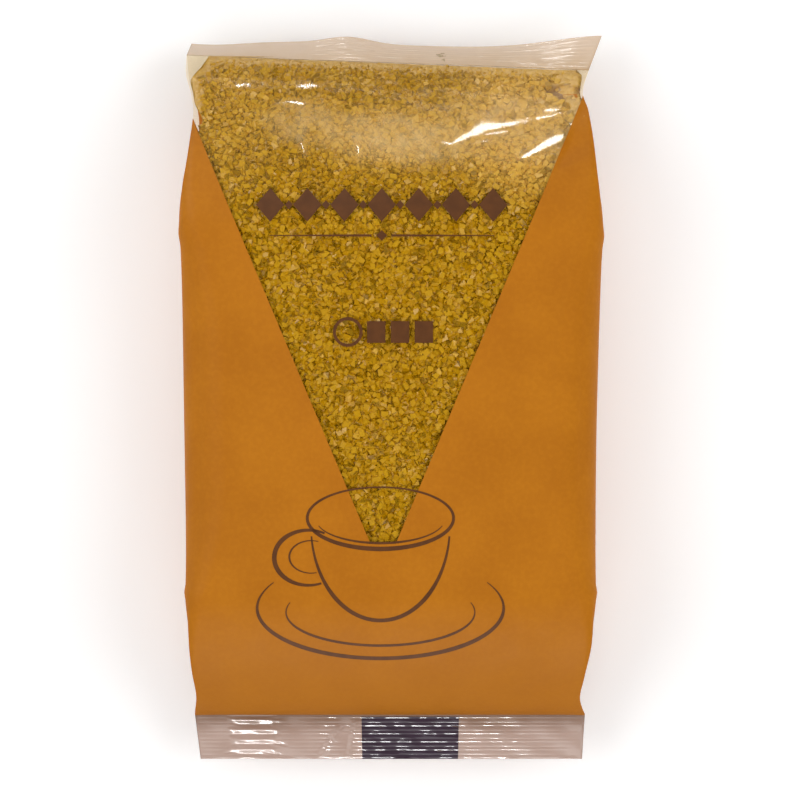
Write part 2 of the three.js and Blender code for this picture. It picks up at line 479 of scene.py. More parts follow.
def window_margin(x, y):
    """How far inside the clear window a point of the front is, in millimetres."""
    half = WINDOW_FOOT + WINDOW_TAPER * (y - WINDOW_BOTTOM)
    return np.minimum(half - np.abs(x - WINDOW_AXIS), y - WINDOW_BOTTOM)


def whole_extent():
    """Lowest and highest x and y, from the outermost corners and sides."""
    y = np.linspace(BOTTOM.y, TOP.y, 400)
    one = np.ones_like(y)
    across = np.linspace(-1, 1, 400)
    spots = [
        body_points(np.stack([-one, y, one], -1)),
        body_points(np.stack([one, y, one], -1)),
        body_points(np.stack([-one, y, 0 * one], -1)),
        body_points(np.stack([one, y, 0 * one], -1)),
    ]
    for end in (TOP, BOTTOM):
        rim = np.stack([across, np.ones_like(across), 0 * across], -1)
        spots.append(seal_points(rim, end, lambda x, q: 0))
    spots = np.concatenate(spots)
    return spots[:, :2].min(0), spots[:, :2].max(0)


LOWEST, HIGHEST = whole_extent()
CENTRE = np.array([*(LOWEST + HIGHEST) / 2, 0.0])


def lattice_faces(index, flip=False):
    """Quads of a lattice of point numbers."""
    second, fourth = index[1:, :-1], index[:-1, 1:]
    if flip:
        second, fourth = fourth, second
    return np.stack([index[:-1, :-1], second, index[1:, 1:], fourth], axis=-1).reshape(-1, 4)


def box_surface(columns, rows, sides, back_columns=None, caps=False):
    """Steps (across, row, up) and faces of a box's surface, with shared edges."""
    back = columns if back_columns is None else back_columns
    patches = [
        (columns, rows, lambda s, t: (s, t, 0 * s + 1)),
        (rows, back, lambda s, t: (t, s, 0 * s - 1)),
        (rows, sides, lambda s, t: (0 * s + 1, s, t)),
        (sides, rows, lambda s, t: (0 * s - 1, t, s)),
    ]
    if caps:
        patches += [
            (sides, columns, lambda s, t: (t, 0 * s + rows[-1], s)),
            (columns, sides, lambda s, t: (s, 0 * s + rows[0], t)),
        ]
    steps, faces, count = [], [], 0
    for first, second, place in patches:
        s, t = np.meshgrid(first, second, indexing="ij")
        steps.append(np.stack(place(s, t), axis=-1).reshape(-1, 3))
        faces.append(lattice_faces(count + np.arange(s.size).reshape(s.shape)))
        count += s.size
    rounded = np.round(np.concatenate(steps), 7)
    unique, inverse = np.unique(rounded, axis=0, return_inverse=True)
    return unique, inverse.reshape(-1)[np.concatenate(faces)]


def mesh_from(name, points, faces):
    """A mesh in metres, about the origin under the pouch's middle."""
    mesh = bpy.data.meshes.new(name)
    mesh.from_pydata(((points - CENTRE) * MM).tolist(), [], faces.tolist())
    mesh.shade_smooth()
    return mesh


def set_layer(mesh, name, value):
    """Stores a value for each point of a mesh, from its place in millimetres."""
    flat = np.empty(3 * len(mesh.vertices))
    mesh.vertices.foreach_get("co", flat)
    x, y, _ = (flat.reshape(-1, 3) / MM + CENTRE).T
    layer = mesh.attributes.new(name, "FLOAT", "POINT")
    layer.data.foreach_set("value", value(x, y).astype(np.float32))


def add_object(name, mesh, material):
    """Puts a mesh in the scene with its material."""
    piece = bpy.data.objects.new(name, mesh)
    bpy.context.scene.collection.objects.link(piece)
    mesh.materials.clear()
    mesh.materials.append(material)
    return piece


def settle(piece):
    """Ties a finished piece to the frame, where it stands for the pouch's solid."""
    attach(piece, BODY)
    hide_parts(NODE)


def thicken(piece, thickness):
    """Gives a sheet its thickness, inwards from its outer face, with crisp edges."""
    solid = piece.modifiers.new("thickness", "SOLIDIFY")
    solid.thickness = thickness * MM
    solid.offset = -1
    sheet = piece.data
    evaluated = piece.evaluated_get(bpy.context.evaluated_depsgraph_get())
    piece.data = bpy.data.meshes.new_from_object(evaluated)
    piece.modifiers.remove(solid)
    bpy.data.meshes.remove(sheet)
    piece.data.set_sharp_from_angle(angle=np.radians(SHARP_ANGLE))


def add_piece(name, mesh, material, thickness=0.0):
    """Adds a finished piece. A sheet is given its thickness first."""
    piece = add_object(name, mesh, material)
    if thickness:
        thicken(piece, thickness)
    settle(piece)


def linear(red, green, blue):
    """A colour of the sRGB scale, 0 to 255, as the linear values that shaders take."""
    def channel(value):
        share = value / 255
        return share / 12.92 if share <= 0.04045 else ((share + 0.055) / 1.055) ** 2.4
    return (channel(red), channel(green), channel(blue), 1.0)


class Wire:
    """A node's output. Arithmetic on it adds Math nodes to its tree."""

    def __init__(self, nodes, socket):
        self.nodes = nodes
        self.socket = socket

    def _maths(self, operation, *values):
        settings = {"operation": operation}
        return self.nodes.node("ShaderNodeMath", settings, dict(enumerate(values)))

    def __add__(self, other):
        return self._maths("ADD", self, other)

    def __sub__(self, other):
        return self._maths("SUBTRACT", self, other)

    def __rsub__(self, other):
        return self._maths("SUBTRACT", other, self)

    def __mul__(self, other):
        return self._maths("MULTIPLY", self, other)

    def __truediv__(self, other):
        return self._maths("DIVIDE", self, other)

    def __pow__(self, other):
        return self._maths("POWER", self, other)

    __radd__ = __add__
    __rmul__ = __mul__

    def set(self, name, value):
        """Sets a plain value on one of the node's own inputs."""
        self.socket.node.inputs[name].default_value = value
        return self

    def above(self, low, high):
        """0 below low, 1 above high, smooth between."""
        settings = {"interpolation_type": "SMOOTHSTEP"}
        return self.nodes.node("ShaderNodeMapRange", settings, {0: self, 1: low, 2: high})

    def beside(self, name):
        """Another output of the same node."""
        return Wire(self.nodes, self.socket.node.outputs[name])


def pick(sockets, key):
    """A socket by its number, or by its name among those in use."""
    if isinstance(key, int):
        return sockets[key]
    return next(s for s in sockets if s.name == key and s.enabled)


class Nodes:
    """A node tree being made, with the one way to add a node to it."""

    def __init__(self, tree):
        self.tree = tree

    def node(self, kind, settings=None, inputs=None, out=0):
        """Adds a node. Its settings come first, then its inputs' values or links."""
        made = self.tree.nodes.new(kind)
        for name, value in (settings or {}).items():
            setattr(made, name, value)
        for key, value in (inputs or {}).items():
            socket = pick(made.inputs, key)
            if isinstance(value, Wire):
                self.tree.links.new(value.socket, socket)
            else:
                socket.default_value = value
        return Wire(self, pick(made.outputs, out))


class Paint(Nodes):
    """A material being made."""

    def __init__(self, name):
        self.material = bpy.data.materials.new(name)
        self.material.use_nodes = True
        super().__init__(self.material.node_tree)
        self.tree.nodes.clear()
        self.place = self.node("ShaderNodeTexCoord", out="Object")

    def noise(self, size, detail=2.0, roughness=0.5, place=None):
        """Soft noise from 0 to 1 with features of that size in millimetres."""
        inputs = {"Vector": place or self.place, "Scale": 1 / (size * MM)}
        inputs.update({"Detail": detail, "Roughness": roughness})
        return self.node("ShaderNodeTexNoise", None, inputs)

    def axes(self):
        """Object coordinates, in millimetres from the pouch's own middle line."""
        scaled = self.node(
            "ShaderNodeVectorMath",
            {"operation": "MULTIPLY_ADD"},
            {0: self.place, 1: (1000, 1000, 1000), 2: tuple(CENTRE)},
        )
        return [self.node("ShaderNodeSeparateXYZ", None, {0: scaled}, out=i) for i in range(3)]

    def painted_light_patches(self):
        """Where painted light makes the sugar paler, from 0 to 1."""
        x, y, _ = self.axes()
        total = 0.0
        for px, py, across, along, strength in PAINTED_LIGHT_PATCHES:
            away = ((x - px) / across) ** 2 + ((y - py) / along) ** 2
            total = (1 - away.above(0.1, 1.6)) * strength + total
        return total

    def blend(self, factor, first, second):
        """A colour between two others."""
        inputs = {0: factor, 6: first, 7: second}
        return self.node("ShaderNodeMix", {"data_type": "RGBA"}, inputs, out=2)

    def bump(self, height, strength, distance):
        inputs = {"Height": height, "Strength": strength, "Distance": distance * MM}
        return self.node("ShaderNodeBump", None, inputs)

    def shader(self, kind, **inputs):
        named = {name.replace("_", " ").title(): value for name, value in inputs.items()}
        return self.node(kind, None, named)

    def mix_shaders(self, factor, first, second):
        return self.node("ShaderNodeMixShader", None, {0: factor, 1: first, 2: second})

    def finish(self, shader):
        output = self.tree.nodes.new("ShaderNodeOutputMaterial")
        self.tree.links.new(shader.socket, output.inputs["Surface"])
        return self.material


def printed_film_material(colour):
    """Matte orange-brown print: faint mottling, and the crystals showing through as bumps."""
    paint = Paint("printed_film")
    _, y, _ = paint.axes()
    clouds = paint.noise(16, 3).above(0.3, 0.7)
    specks = paint.noise(1.1, 2).above(0.35, 0.75)
    deep = tuple(c * f for c, f in zip(colour, (0.88, 0.83, 0.8))) + (1.0,)
    pale = tuple(min(1, c * f) for c, f in zip(colour, (1.06, 1.07, 1.15))) + (1.0,)
    base = paint.blend(clouds * 0.5 + specks * 0.3, deep, pale)
    foot = tuple(c * f for c, f in zip(colour, (0.8, 0.78, 0.75))) + (1.0,)
    base = paint.blend((1 - y.above(-74, -40)) * 0.5, base, foot)
    lumps = paint.noise(2.2, 2) + paint.noise(7, 2) * 2
    principled = paint.shader(
        "ShaderNodeBsdfPrincipled",
        base_color=base,
        roughness=paint.noise(5, 2) * 0.12 + 0.52,
        normal=paint.bump(lumps, 0.35, 0.22),
    )
    return paint.finish(principled.set("Specular IOR Level", 0.05))


def clear_film_material():
    """Clear glossy film: hazy where it lies on the crystals, a milky layer of painted sheen in
    patches, and a mirror on its folds.
    """
    paint = Paint("clear_film")
    touch = paint.noise(9, 3).above(0.42, 0.62)
    grains = paint.noise(1.9, 3, 0.6)
    creases = paint.noise(5.5, 2)
    height = grains * 0.35 * touch + creases * 0.9
    normal = paint.bump(height, 0.12, 0.35)
    # cloudy: the share of painted sheen, laid on as a milky layer
    cloudy = paint.node("ShaderNodeAttribute", {"attribute_name": "cloudy"}, None, "Fac")
    painted_sheen_layer = paint.shader(
        "ShaderNodeBsdfPrincipled", base_color=(1.0, 0.75, 0.34, 1), roughness=0.6
    )
    clear = paint.shader("ShaderNodeBsdfTransparent", color=(0.99, 0.97, 0.93, 1))
    body = paint.mix_shaders(cloudy * 0.11, clear, painted_sheen_layer.set("Specular IOR Level", 0.1))
    gloss = paint.shader(
        "ShaderNodeBsdfGlossy", color=(1, 1, 1, 1), roughness=0.11, normal=normal
    )
    facing = paint.node("ShaderNodeLayerWeight", None, {"Normal": normal}, "Facing")
    mirror = paint.node("ShaderNodeAttribute", {"attribute_name": "shine"}, None, "Fac")
    return paint.finish(paint.mix_shaders(facing**5 * 0.18 + mirror * 0.013, body, gloss))


def seal_film_material(name, pale, dark, pale_from, dark_from, cover, gloss, crumbs=None):
    """Milky crimped film with a gloss, darker towards the body by painted shade, part of the floor
    seen through.
    """
    paint = Paint(name)
    x, y, _ = paint.axes()
    waver = paint.noise(14, 2) - 0.5
    shade = (y + waver * 3).above(pale_from, dark_from)
    blotches = paint.noise(6, 3).above(0.3, 0.75)
    base = paint.blend(shade * 0.9 + blotches * 0.1, pale, dark)
    if crumbs:
        px, py, reach = crumbs
        away = (((x - px) / reach) ** 2 + ((y - py) / reach) ** 2) ** 0.5
        fleck = (paint.noise(1.2, 1) - away * 0.3).above(0.38, 0.46)
        base = paint.blend(fleck * 0.8, base, linear(140, 116, 52))
    film = paint.shader("ShaderNodeBsdfPrincipled", base_color=base, roughness=0.45)
    film.set("Specular IOR Level", 0.2).set("Coat Weight", gloss).set("Coat Roughness", 0.12)
    clear = paint.shader("ShaderNodeBsdfTransparent", color=(1, 1, 1, 1))
    return paint.finish(paint.mix_shaders(cover, clear, film))


def ink_material(name, colour, roughness, shine):
    """Flat ink with a faint unevenness in its cover."""
    paint = Paint(name)
    uneven = paint.noise(2.5, 3).above(0.3, 0.7)
    lighter = tuple(min(1, c * 1.25) for c in colour[:3]) + (1.0,)
    base = paint.blend(uneven, colour, lighter)
    ink = paint.shader("ShaderNodeBsdfPrincipled", base_color=base, roughness=roughness)
    return paint.finish(ink.set("Specular IOR Level", shine))


def crystal_material(name, deep, pale):
    """Golden crystals, each a little different, with a soft gloss on their faces, painted glints
    on a few, and patches of painted light.
    """
    paint = Paint(name)
    tint = paint.node("ShaderNodeAttribute", {"attribute_name": "tint"}, None, "Fac")
    cloudy = paint.noise(0.7, 2)
    drift = paint.noise(6, 2).above(0.3, 0.7)
    base = paint.blend(tint * 0.2 + cloudy * 0.35 + drift * 0.35, deep, pale)
    # A few crystals painted paler: painted glints.
    base = paint.blend(tint.above(0.95, 0.99) * 0.4, base, SUGAR_PAINTED_LIGHT)
    # Patches of painted light.
    base = paint.blend(paint.painted_light_patches() * 0.5, base, SUGAR_PAINTED_LIGHT)
    crystal = paint.shader("ShaderNodeBsdfPrincipled", base_color=base, roughness=0.35)
    return paint.finish(crystal.set("Specular IOR Level", 0.1))


def sugar_core_material(deep, pale, hollow):
    """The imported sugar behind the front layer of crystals."""
    paint = Paint("sugar_core")
    cells = {"Vector": paint.place, "Scale": 1 / (1.5 * MM)}
    grains = paint.node("ShaderNodeTexVoronoi", None, cells)
    tints = paint.node("ShaderNodeTexVoronoi", None, cells, "Color")
    tint = paint.node("ShaderNodeSeparateColor", None, {0: tints})
    # Paler in the middle of each cell and deeper towards its edges: painted shade where the grains
    # meet.
    base = paint.blend(tint * 0.6 + (1 - grains.above(0.1, 0.8)) * 0.3, deep, pale)
    # Patches of painted light, as on the crystals.
    base = paint.blend(paint.painted_light_patches() * 0.4, base, SUGAR_PAINTED_LIGHT)
    # Painted shade in the hollow at the upper right.
    marked = paint.node("ShaderNodeAttribute", {"attribute_name": "hollow"}, None, "Fac")
    base = paint.blend(marked, base, hollow)
    height = 1 - grains
    return paint.finish(
        paint.shader(
            "ShaderNodeBsdfPrincipled",
            base_color=base,
            roughness=0.55,
            normal=paint.bump(height, 0.8, 0.5),
        )
    )


class FilmSettings(bpy.types.PropertyGroup):
    """Sizes and colours of the film and its print."""

    print_colour: FloatVectorProperty(
        name="Print colour", description="Colour of the matte print",
        default=linear(187, 115, 20)[:3], size=3, min=0, max=1, subtype="COLOR",
    )
    ink_colour: FloatVectorProperty(
        name="Ink colour", description="Colour of the drawing and ornaments",
        default=linear(88, 50, 18)[:3], size=3, min=0, max=1, subtype="COLOR",
    )
    thickness: FloatProperty(
        name="Film thickness", description="Thickness of the film",
        default=FILM_THICKNESS * MM, min=0.02 * MM, max=0.5 * MM,
        precision=5, subtype="DISTANCE", unit="LENGTH",
    )


class SugarSettings(bpy.types.PropertyGroup):
    """Sizes and colours of the crystals."""

    grain_size: FloatProperty(
        name="Crystal size", description="Typical length of one crystal",
        default=2.5 * MM, min=0.5 * MM, max=4 * MM,
        precision=5, subtype="DISTANCE", unit="LENGTH",
    )
    spacing: FloatProperty(
        name="Crystal spacing",
        description="Least distance between the middles of crystals of one kind",
        default=1.12 * MM, min=0.5 * MM, max=5 * MM,
        precision=5, subtype="DISTANCE", unit="LENGTH",
    )
    seed: IntProperty(
        name="Seed", description="Number that sets where the crystals fall", default=11, min=0
    )


class StageSettings(bpy.types.PropertyGroup):
    """Camera height and the strength of the light."""

    camera_height: FloatProperty(
        name="Camera height", description="Height of the lens above the floor",
        default=CAMERA_HEIGHT * MM, min=0.3, max=3, subtype="DISTANCE", unit="LENGTH",
    )
    key_glare: FloatProperty(
        name="Key glare", description="Brightness of the small lights that the film mirrors",
        default=48.0, min=0, max=200,
    )
    light_level: FloatProperty(
        name="Light level", description="Share of full strength for the broad lights",
        default=0.88, min=0, max=5,
    )
    fill_level: FloatProperty(
        name="Fill level", description="Brightness of the even light from all round",
        default=0.38, min=0, max=3,
    )


CREASED_FROM, SHOULDER_FROM = 56, 77.8  # places along the pouch where the film's rows change


def film_rows():
    """Places along the body, closer together where the film is creased."""
    plain = np.arange(BOTTOM.y + 1.2, CREASED_FROM, 1.0)
    creased = np.arange(CREASED_FROM, SHOULDER_FROM, 0.3)
    shoulder = np.arange(SHOULDER_FROM, TOP.y - 0.6, 0.5)
    ends = [BOTTOM.y, BOTTOM.y + FIRST_ROW], [TOP.y - FIRST_ROW, TOP.y]
    return np.concatenate([ends[0], plain, creased, shoulder, ends[1]])


def middles_of(faces):
    """The middles of faces, in millimetres."""
    return np.array([face.calc_center_median() for face in faces]) / MM + CENTRE


PANEL_FROM = 0.8  # share of the half depth past which a place is on the front or the back


def on_front(middles):
    """Which places are on the front panel rather than the sides or back."""
    s = section(middles[:, 1])
    return middles[:, 2] > s.middle + PANEL_FROM * s.half


def is_clear(middles):
    """Which places of the film carry no print."""
    x, y, z = middles.T
    beside = np.where(x < 0, PRINT_TOP_LEFT, PRINT_TOP_RIGHT)
    s = section(y)
    limit = np.where(z < s.middle - PANEL_FROM * s.half, PRINT_TOP_BACK, beside)
    return np.where(on_front(middles), window_margin(x, y) > 0, y > limit)


def cut_along(bm, near, point, normal):
    """Splits faces along a plane, where their middles pass the test."""
    bm.faces.ensure_lookup_table()
    middles = middles_of(bm.faces)
    faces = [bm.faces[i] for i in np.flatnonzero(near(middles))]
    edges = {edge for face in faces for edge in face.edges}
    verts = {vert for face in faces for vert in face.verts}
    bmesh.ops.bisect_plane(
        bm,
        geom=[*faces, *edges, *verts],
        dist=1e-7,
        plane_co=(Vector(point) - Vector(CENTRE)) * MM,
        plane_no=normal,
    )


def cut_film():
    """The whole film as one bmesh, split along the lines where the print stops."""
    columns = np.concatenate([np.linspace(-1, 0.15, 136), np.linspace(0.15, 1, 130)[1:]])
    sides = np.linspace(-1, 1, 25)
    steps, faces = box_surface(columns, film_rows(), sides, np.linspace(-1, 1, 41))
    mesh = mesh_from("film", body_points(steps, slack_film=True, folds=True), faces)
    bm = bmesh.new()
    bm.from_mesh(mesh)
    bpy.data.meshes.remove(mesh)
    for side in (-1, 1):
        cut_along(
            bm,
            lambda m: on_front(m) & (m[:, 1] > WINDOW_BOTTOM - 2),
            (WINDOW_AXIS + side * WINDOW_FOOT, WINDOW_BOTTOM, 0),
            (1, -side * WINDOW_TAPER, 0),
        )
    cut_along(
        bm,
        lambda m: on_front(m) & (np.abs(m[:, 1] - WINDOW_BOTTOM) < 3),
        (0, WINDOW_BOTTOM, 0),
        (0, 1, 0),
    )
    for limit in (PRINT_TOP_LEFT, PRINT_TOP_RIGHT, PRINT_TOP_BACK):
        cut_along(
            bm,
            lambda m: ~on_front(m) & (np.abs(m[:, 1] - limit) < 3),
            (0, limit, 0),
            (0, 1, 0),
        )
    return bm


def part_of_film(bm, name, clear):
    """The clear or the printed share of the film as a mesh of its own."""
    share = bm.copy()
    share.faces.ensure_lookup_table()
    unwanted = np.flatnonzero(is_clear(middles_of(share.faces)) != clear)
    bmesh.ops.delete(share, geom=[share.faces[i] for i in unwanted], context="FACES")
    mesh = bpy.data.meshes.new(name)
    share.to_mesh(mesh)
    share.free()
    mesh.shade_smooth()
    return mesh


class POUCH_OT_film(bpy.types.Operator):
    """Make the printed film and the clear window"""

    bl_idname = "pouch.film"
    bl_label = "Film"

    def execute(self, context):
        settings = context.scene.pouch_film
        bm = cut_film()
        printed = part_of_film(bm, "film_print", False)
        window = part_of_film(bm, "film_window", True)
        bm.free()
        if not printed.polygons or not window.polygons:
            raise RuntimeError("the film was not split into print and window")
        # The window's painted sheen, a milky layer standing for its broad reflection.
        set_layer(window, "cloudy", painted_sheen)
        set_layer(window, "shine", shine)
        ink = printed_film_material(tuple(settings.print_colour))
        clear = clear_film_material()
        thickness = settings.thickness / MM
        add_piece("film_print", printed, ink, thickness)
        add_piece("film_window", window, clear, thickness)
        return {"FINISHED"}


class POUCH_OT_seals(bpy.types.Operator):
    """Make the two crimped seal strips"""

    bl_idname = "pouch.seals"
    bl_label = "Seals"

    def execute(self, context):
        top = seal_film_material(
            "top_seal_film", linear(225, 199, 172), linear(210, 178, 138), 88, 80, 0.75, 0.26,
            crumbs=(12.2, 84.0, 1.9),
        )
        bottom = seal_film_material(
            "bottom_seal_film", linear(190, 162, 148), linear(136, 103, 80), -84, -78, 0.85, 0.8
        )
        for name, end, material in (("top_seal", TOP, top), ("bottom_seal", BOTTOM, bottom)):
            rows = np.append(-SEAL_OVERLAP, np.linspace(0, 1, end.ribs * 8 + 1))
            columns = np.linspace(-1, 1, 161)
            steps, faces = box_surface(columns, rows, np.array([-1.0, 0.0, 1.0]), caps=True)
            points = seal_points(steps, end, rib_shape(end))
            add_piece(name, mesh_from(name, points, faces), material)
        return {"FINISHED"}


SEAL_OVERLAP = 0.03  # share of a strip's length that runs on under the film

# How hard the crimp is pressed along each strip, 0 to 1, at places across the pouch
PRESSED_TOP = ((-50, 0.1), (-22, 0.15), (-14, 0.42), (10, 0.3), (30, 0.25), (50, 0.16))
PRESSED_BOTTOM = (
    (-48, 0.1), (-26, 0.1), (-18.5, 0.12), (-16.3, 0.34), (-14, 0.34), (-12, 0.12),
    (-10.3, 0.16), (-8.8, 0.38), (0, 0.36), (5, 0.3),
    (10, 0.36), (17, 0.4), (24, 0.36), (32, 0.28), (40, 0.16), (44, 0.08), (48, 0.04),
)
CRIMP_CRISPNESS = 0.93  # 1 for sharp ribs
WIDE_RIBS = (-33.6, 6.0, 4.5, 0.26)  # a coarser patch of ribs: place, reach, ribs, height
# Creases of the bottom strip: from, to, height and width
STRIP_CREASES = (
    ((-12.7, 3.2), (-17.0, 10.2), 0.5, 0.55),
    ((-8.4, 1.8), (-10.2, 10.2), 0.4, 0.6),
)


def crimp(q, ribs):
    """Rounded triangle waves from -1 to 1 along a strip."""
    return np.arcsin(-CRIMP_CRISPNESS * np.cos(2 * np.pi * q * ribs)) / np.arcsin(CRIMP_CRISPNESS)


def rib_shape(end):
    """Height of the crimp's ribs along a strip, pressed harder in some places."""
    pressed_at = PRESSED_TOP if end is TOP else PRESSED_BOTTOM

    def shape(x, q):
        run = q * end.strip
        fade = smooth(q, 0, 0.06) * smooth(1 - q, 0, 0.06)
        uneven = 1 + ripples(x, run, 17 + end.ribs, 24, 2, 6, 0.33)
        every_other = 0.62 + 0.38 * np.cos(np.pi * np.floor(q * end.ribs + 0.001))
        pressed = follow(pressed_at, x) * uneven * every_other
        height = crimp(q, end.ribs) * pressed * RIB_HEIGHT / 2
        if end is BOTTOM:
            place, spread, ribs, rise = WIDE_RIBS
            ragged = ripples(x, run, 40, 16, 2, 6, 1.0)
            patch = smooth(spread + ragged - np.abs(x - place), 0, 1.6)
            coarse = rise * crimp(q, ribs) * (uneven + 3) / 4
            height = height * (1 - patch) + patch * coarse
            for start, finish, rise, width in STRIP_CREASES:
                height += rise * bell(off_line(x, run, start, finish), width)
        height += ripples(x, run, 9 + end.ribs, 30, 6, 20, 0.1, 0.7) * smooth(q, 0, 0.3)
        return height * fade

    return shape


def front_height(x, y, folds=True):
    """Height of the clear or printed front at a place, with or without its folds."""
    row = y
    for _ in range(2):
        row = y - lean_at(row) * x
    across = x / panel_edge(section(row), side_reach(x, y))
    steps = np.stack([across, row, np.ones_like(x)], axis=-1)
    return body_points(steps, slack_film=True, folds=folds)[:, 2]


class Ink:
    """Flat printed shapes, gathered and then laid on the front of the pouch."""

    def __init__(self):
        self.points = []
        self.faces = []
        self.count = 0

    def ribbon(self, x, y, width):
        """A line of changing width along points."""
        dx, dy = np.gradient(x), np.gradient(y)
        length = np.hypot(dx, dy)
        nx, ny = -dy / length, dx / length
        lanes = [np.stack([x + nx * width * k, y + ny * width * k], -1) for k in (0.5, 0, -0.5)]
        self._lattice(np.stack(lanes, axis=1))

    def arc(self, centre, radii, start, end, widths):
        """Part of an ellipse, from one angle to another in degrees."""
        count = max(12, int(abs(end - start) / 360 * np.pi * (radii[0] + radii[1]) / 0.7))
        t = np.linspace(0, 1, count)
        angle = np.radians(start + (end - start) * t)
        width = np.interp(t, np.linspace(0, 1, len(widths)), widths)
        x = centre[0] + radii[0] * np.cos(angle)
        y = centre[1] + radii[1] * np.sin(angle)
        self.ribbon(x, y, width)

    def lozenge(self, x, y, half_width, half_height, upright=False):
        """A filled lozenge, or an upright block."""
        s, t = np.meshgrid(np.linspace(-1, 1, 11), np.linspace(-1, 1, 11), indexing="ij")
        u, v = (s, t) if upright else ((s - t) / 2, (s + t) / 2)
        self._lattice(np.stack([x + u * half_width, y + v * half_height], axis=-1)[::-1])

    def _lattice(self, places):
        rows, columns = places.shape[:2]
        index = self.count + np.arange(rows * columns).reshape(rows, columns)
        self.points.append(places.reshape(-1, 2))
        self.faces.append(lattice_faces(index, flip=True))
        self.count += rows * columns

    def mesh(self, name):
        flat = np.concatenate(self.points)
        height = front_height(flat[:, 0], flat[:, 1]) + INK_CLEARANCE + INK_THICKNESS
        points = np.column_stack([flat, height])
        mesh = mesh_from(name, points, np.concatenate(self.faces))
        bm = bmesh.new()
        bm.from_mesh(mesh)
        for face in bm.faces:
            face.normal_update()
            if face.normal.z < 0:
                face.normal_flip()
            face.smooth = False
        bm.to_mesh(mesh)
        bm.free()
        return mesh


CUP_CENTRE = (-2.4, -28.7)


def draw_cup(ink):
    """A plain cup on its saucer, the window's point ending inside its rim."""
    x, y = CUP_CENTRE
    ink.arc((x, y), (17.5, 7.4), 0, 180, (0.7, 0.35, 0.7))
    ink.arc((x, y), (17.5, 7.4), 180, 360, (0.7, 1.1, 0.7))
    ink.arc((x, y - 0.4), (15.3, 5.6), 195, 345, (0.2, 0.6, 0.2))
    ink.arc((x, y - 2), (16.6, 22.6), 186, 354, (0.4, 1.0, 0.9, 1.0, 0.4))
    ink.arc((x - 17.2, y - 9.5), (8.2, 6.6), 62, 292, (0.5, 1.1, 1.1, 0.5))
    ink.arc((x - 16.6, y - 9.3), (5.2, 3.9), 70, 285, (0.2, 0.5, 0.2))
    ink.arc((x, y - 21.6), (29.5, 12.4), 150, 390, (0.2, 0.8, 1.0, 0.9, 1.0, 0.8, 0.2))
    ink.arc((x, y - 22.6), (22.6, 8.2), 163, 377, (0.2, 0.6, 0.6, 0.6, 0.2))


DESIGN_AXIS = -2.1  # the middle of the ornaments, across the pouch
BAND_AT, RULE_AT, RING_AT = 46.3, 38.9, 15.8  # their places along it
BAND_STEP = 8.9


def draw_ornaments(ink):
    """A band of lozenges, a rule with a bead, and a ring with three blocks."""
    for k in range(-3, 4):
        ink.lozenge(DESIGN_AXIS + k * BAND_STEP, BAND_AT, 3.4, 4.1)
    for k in range(-3, 3):
        ink.lozenge(DESIGN_AXIS + (k + 0.5) * BAND_STEP, BAND_AT, 0.95, 1.15)
    for side in (-1, 1):
        x = DESIGN_AXIS + side * np.linspace(2.4, 27, 40)
        ink.ribbon(x, np.full_like(x, RULE_AT), np.linspace(0.55, 0.2, 40))
    ink.lozenge(DESIGN_AXIS, RULE_AT, 1.3, 1.3)
    ink.arc((-10.2, RING_AT), (3.2, 3.2), 0, 360, (0.75, 0.75))
    for k in range(3):
        ink.lozenge(-3.4 + k * 5.7, RING_AT, 2.2, 2.6, upright=True)


# The navy mark on the bottom strip: shares of its half width, and of its length outwards
MARK_ACROSS = (-7.1 / 47.5, 16.7 / 47.5)
MARK_ROWS = (0.04, 1)


class POUCH_OT_print(bpy.types.Operator):
    """Draw the cup, the ornaments and the mark on the bottom seal"""

    bl_idname = "pouch.print"
    bl_label = "Print"

    def execute(self, context):
        colour = tuple(context.scene.pouch_film.ink_colour) + (1.0,)
        brown = ink_material("brown_ink", colour, 0.6, 0.1)
        for name, draw in (("cup_drawing", draw_cup), ("front_ornaments", draw_ornaments)):
            ink = Ink()
            draw(ink)
            add_piece(name, ink.mesh(name), brown, INK_THICKNESS)
        navy = ink_material("navy_ink", linear(50, 34, 48), 0.15, 0.4)
        across, rows = np.linspace(*MARK_ACROSS, 53), np.linspace(*MARK_ROWS, 89)
        a, q = np.meshgrid(across, rows, indexing="ij")
        steps = np.stack([a.ravel(), q.ravel(), np.ones(a.size)], axis=-1)
        points = seal_points(steps, BOTTOM, rib_shape(BOTTOM))
        points[:, 2] += INK_CLEARANCE + INK_THICKNESS
        faces = lattice_faces(np.arange(a.size).reshape(a.shape), flip=True)
        mark = mesh_from("eye_mark", points, faces)
        add_piece("eye_mark", mark, navy, INK_THICKNESS)
        return {"FINISHED"}


class POUCH_OT_back_seam(bpy.types.Operator):
    """Make the seam folded flat down the back"""

    bl_idname = "pouch.back_seam"
    bl_label = "Back seam"

    def execute(self, context):
        rows = film_rows()[1:-1]
        columns = np.linspace(-1, 1, 13)
        steps, faces = box_surface(columns, rows, np.array([-1.0, 1.0]), caps=True)
        across, y, up = steps.T
        x = SEAM_LEFT + (across + 1) / 2 * (SEAM_RIGHT - SEAM_LEFT)
        s = section(y)
        back = s.middle - s.half + seam_lift(x) * s.half / HALF_DEPTH
        thickness = SEAM_THICKNESS * np.minimum(1, s.half / HALF_DEPTH + 0.2)
        z = back - SEAM_CLEARANCE - np.where(up > 0, 0, thickness)
        points = np.stack([x, y + lean_at(y) * x, z], axis=-1)
        colour = tuple(context.scene.pouch_film.print_colour)
        material = bpy.data.materials.get("printed_film") or printed_film_material(colour)
        seam = mesh_from("back_seam", points, faces)
        add_piece("back_seam", seam, material)
        return {"FINISHED"}


